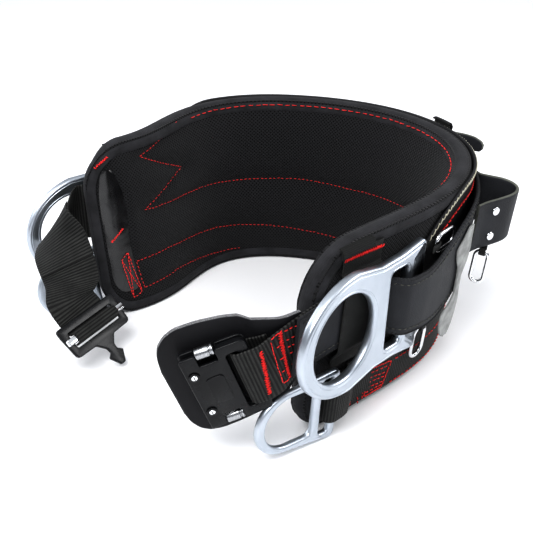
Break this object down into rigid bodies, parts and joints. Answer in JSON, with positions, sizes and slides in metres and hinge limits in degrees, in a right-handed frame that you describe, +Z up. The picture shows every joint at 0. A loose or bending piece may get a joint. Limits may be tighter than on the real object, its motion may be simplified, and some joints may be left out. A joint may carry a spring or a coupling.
{
  "type": "lineman belt",
  "caption": "Padded waist belt for pole work: curved back pad, leather body strap, large side rings, smaller lower rings, webbing with a snap buckle and tongue, tool loop and small rings.",
  "frame": {"origin": "centre of the overall box, on the plane that the belt's lower edge stands on", "axes": "+Z up along the height of the belt, -Y towards the open front between the two webbing ends, +X towards the wearer's left-hand end with the buckle"},
  "size_m": [0.3186, 0.3432, 0.1502],
  "materials": {
    "black_spacer_mesh": "matt",
    "grey_binding_tape": "matt",
    "black_vinyl": "semi-gloss",
    "coated_shell": "matt",
    "black_webbing": "matt",
    "charcoal_leather": "satin",
    "satin_aluminium": "satin",
    "polished_steel": "polished",
    "black_satin_metal": "satin",
    "black_rubberised_sheet": "matt",
    "light_grey_tab": "matt"
  },
  "bodies": {
    "belt": {"adjuster_bar": "polished_steel", "back_pad": "black_spacer_mesh", "buckle_backing_plate": "black_rubberised_sheet", "buckle_base": "black_satin_metal", "buckle_cover": "black_satin_metal", "buckle_rivet_lower": "polished_steel", "buckle_rivet_upper": "polished_steel", "buckle_spacer": "black_satin_metal", "end_patch_left": "black_vinyl", "end_patch_right": "black_vinyl", "front_webbing_left": "black_webbing", "front_webbing_right": "black_webbing", "grey_holder_tab": "light_grey_tab", "keeper_back": "black_webbing", "keeper_left": "black_webbing", "keeper_right": "black_webbing", "leather_strap": "charcoal_leather", "loop_ring": "polished_steel", "loop_ring_tab": "black_webbing", "low_ring": "polished_steel", "low_ring_tab": "black_webbing", "lower_ring_left": "polished_steel", "lower_ring_loop_left": "black_webbing", "lower_ring_loop_right": "black_webbing", "lower_ring_right": "polished_steel", "lower_strap": "black_webbing", "outer_band": "coated_shell", "pad_binding": "grey_binding_tape", "rear_leather_tab": "charcoal_leather", "side_ring_left": "satin_aluminium", "side_ring_right": "satin_aluminium", "tongue_plate": "black_satin_metal", "tool_loop": "charcoal_leather", "tool_loop_rivet_1": "polished_steel", "tool_loop_rivet_2": "polished_steel", "top_ring": "polished_steel", "top_ring_tab": "black_webbing", "webbing_hem_layer": "black_webbing"},
    "upper_lever": {"release_lever_upper": "polished_steel"},
    "lower_lever": {"release_lever_lower": "polished_steel"}
  },
  "joints": [
    {"name": "upper_lever_press", "type": "slide", "parent": "belt", "child": "upper_lever", "axis": [0.0915, 0.3493, -0.9325], "range_m": [0, 0.003], "stiffness_N_per_m": 400},
    {"name": "lower_lever_press", "type": "slide", "parent": "belt", "child": "lower_lever", "axis": [-0.0915, -0.3493, 0.9325], "range_m": [0, 0.003], "stiffness_N_per_m": 400}
  ]
}
